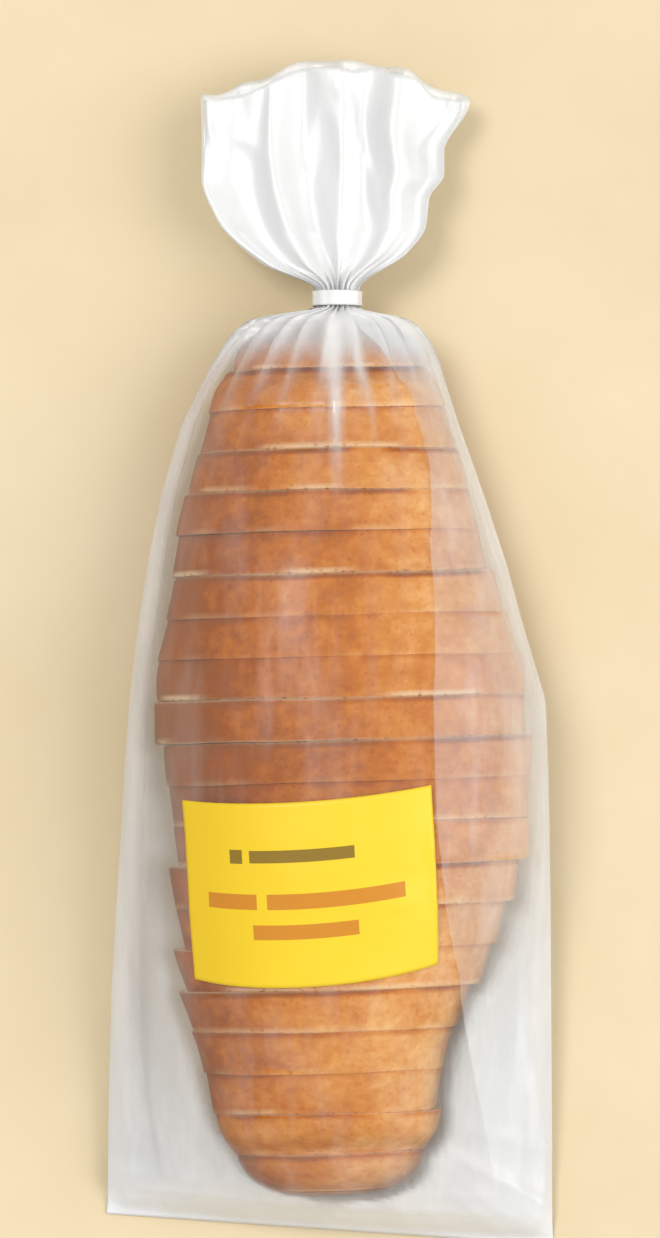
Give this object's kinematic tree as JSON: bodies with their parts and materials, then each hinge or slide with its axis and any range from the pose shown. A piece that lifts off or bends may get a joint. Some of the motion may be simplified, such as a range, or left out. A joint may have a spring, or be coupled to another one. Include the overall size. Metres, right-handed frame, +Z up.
{
  "type": "bagged sliced loaf",
  "caption": "Oval hearth loaf, sliced and standing together crust up, in a clear film bag with a flat seal at one end, a gathered and tied neck with a ruff at the other, and a plain label.",
  "frame": {"origin": "the middle of the bag's footprint, on the surface that it lies on", "axes": "+Y runs along the loaf towards the tied neck, +X across it, and +Z up towards the crust"},
  "size_m": [0.1544, 0.4109, 0.0831],
  "materials": {
    "bread": "matte baked crust with a pale crumb",
    "film": "clear, slightly milky soft film",
    "label": "smooth coated paper",
    "tie": "satin white tape"
  },
  "bodies": {
    "root": {"heel_seam_end": "bread", "slice_02": "bread", "slice_03": "bread", "slice_04": "bread", "slice_05": "bread", "slice_06": "bread", "slice_07": "bread", "slice_08": "bread", "slice_09": "bread", "slice_10": "bread", "slice_11": "bread", "slice_12": "bread", "slice_13": "bread", "slice_14": "bread", "slice_15": "bread", "slice_16": "bread", "slice_17": "bread", "slice_18": "bread", "slice_19": "bread", "slice_20": "bread", "heel_neck_end": "bread", "bag": "film", "label": "label", "neck_tie": "tie"}
  },
  "joints": []
}
